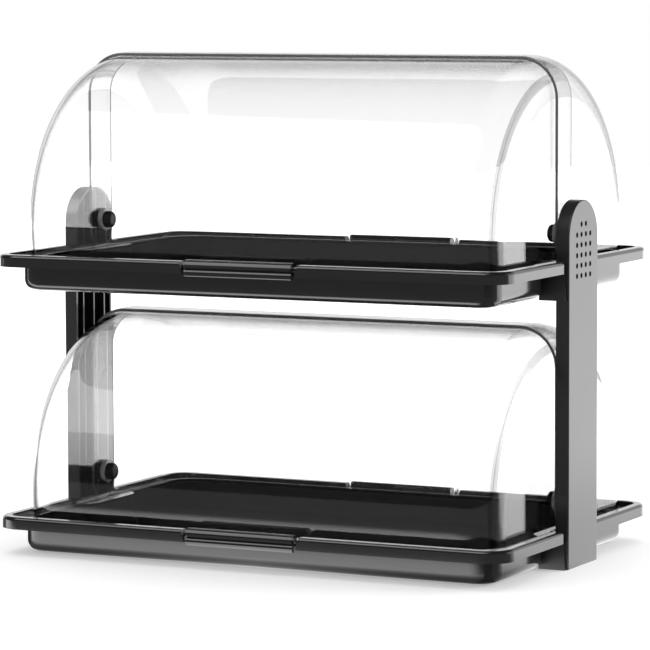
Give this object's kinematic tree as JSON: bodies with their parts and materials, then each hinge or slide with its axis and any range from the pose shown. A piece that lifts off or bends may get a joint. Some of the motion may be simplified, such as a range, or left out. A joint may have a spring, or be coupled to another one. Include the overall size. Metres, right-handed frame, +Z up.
{
  "type": "countertop bread display bin",
  "caption": "Two-tier roll-top bread display: black trays on side uprights, each under a clear hood whose front and rear halves roll back over each other.",
  "frame": {"origin": "on the counter, at the middle of the display's footprint", "axes": "+X along the hoods to the right, -Y towards the customer, +Z up"},
  "size_m": [0.586, 0.393, 0.5184],
  "materials": {
    "tray_plastic": "glossy black moulded",
    "stand_plastic": "satin black moulded",
    "clear_plastic": "clear polycarbonate, polished",
    "washer_plastic": "clear moulded",
    "knob_plastic": "black moulded",
    "pin_steel": "plain steel",
    "screw_steel": "plain steel"
  },
  "bodies": {
    "stand": {"lower_base_tray": "tray_plastic", "lower_left_bracket": "stand_plastic", "lower_left_pivot_pin": "pin_steel", "lower_left_knob": "knob_plastic", "lower_left_hub_washer": "washer_plastic", "lower_left_spacer": "knob_plastic", "lower_right_bracket": "stand_plastic", "lower_right_pivot_pin": "pin_steel", "lower_right_knob": "knob_plastic", "lower_right_hub_washer": "washer_plastic", "lower_right_spacer": "knob_plastic", "upper_base_tray": "tray_plastic", "upper_left_bracket": "stand_plastic", "upper_left_pivot_pin": "pin_steel", "upper_left_knob": "knob_plastic", "upper_left_hub_washer": "washer_plastic", "upper_left_spacer": "knob_plastic", "upper_right_bracket": "stand_plastic", "upper_right_pivot_pin": "pin_steel", "upper_right_knob": "knob_plastic", "upper_right_hub_washer": "washer_plastic", "upper_right_spacer": "knob_plastic", "left_upright": "stand_plastic", "right_upright": "stand_plastic", "tray_screws": "screw_steel", "upright_screws": "screw_steel"},
    "lower_front_shell": {"lower_front_shell": "clear_plastic"},
    "lower_rear_shell": {"lower_rear_shell": "clear_plastic"},
    "upper_front_shell": {"upper_front_shell": "clear_plastic"},
    "upper_rear_shell": {"upper_rear_shell": "clear_plastic"}
  },
  "joints": [
    {"name": "lower_front_shell_roll", "type": "hinge", "parent": "stand", "child": "lower_front_shell", "pos_m": [0, 0, 0.065], "axis": [-1, 0, 0], "range_deg": [0, 90]},
    {"name": "lower_rear_shell_roll", "type": "hinge", "parent": "stand", "child": "lower_rear_shell", "pos_m": [0, 0, 0.065], "axis": [1, 0, 0], "range_deg": [0, 90]},
    {"name": "upper_front_shell_roll", "type": "hinge", "parent": "stand", "child": "upper_front_shell", "pos_m": [0, 0, 0.33798], "axis": [-1, 0, 0], "range_deg": [0, 90]},
    {"name": "upper_rear_shell_roll", "type": "hinge", "parent": "stand", "child": "upper_rear_shell", "pos_m": [0, 0, 0.33798], "axis": [1, 0, 0], "range_deg": [0, 90]}
  ]
}
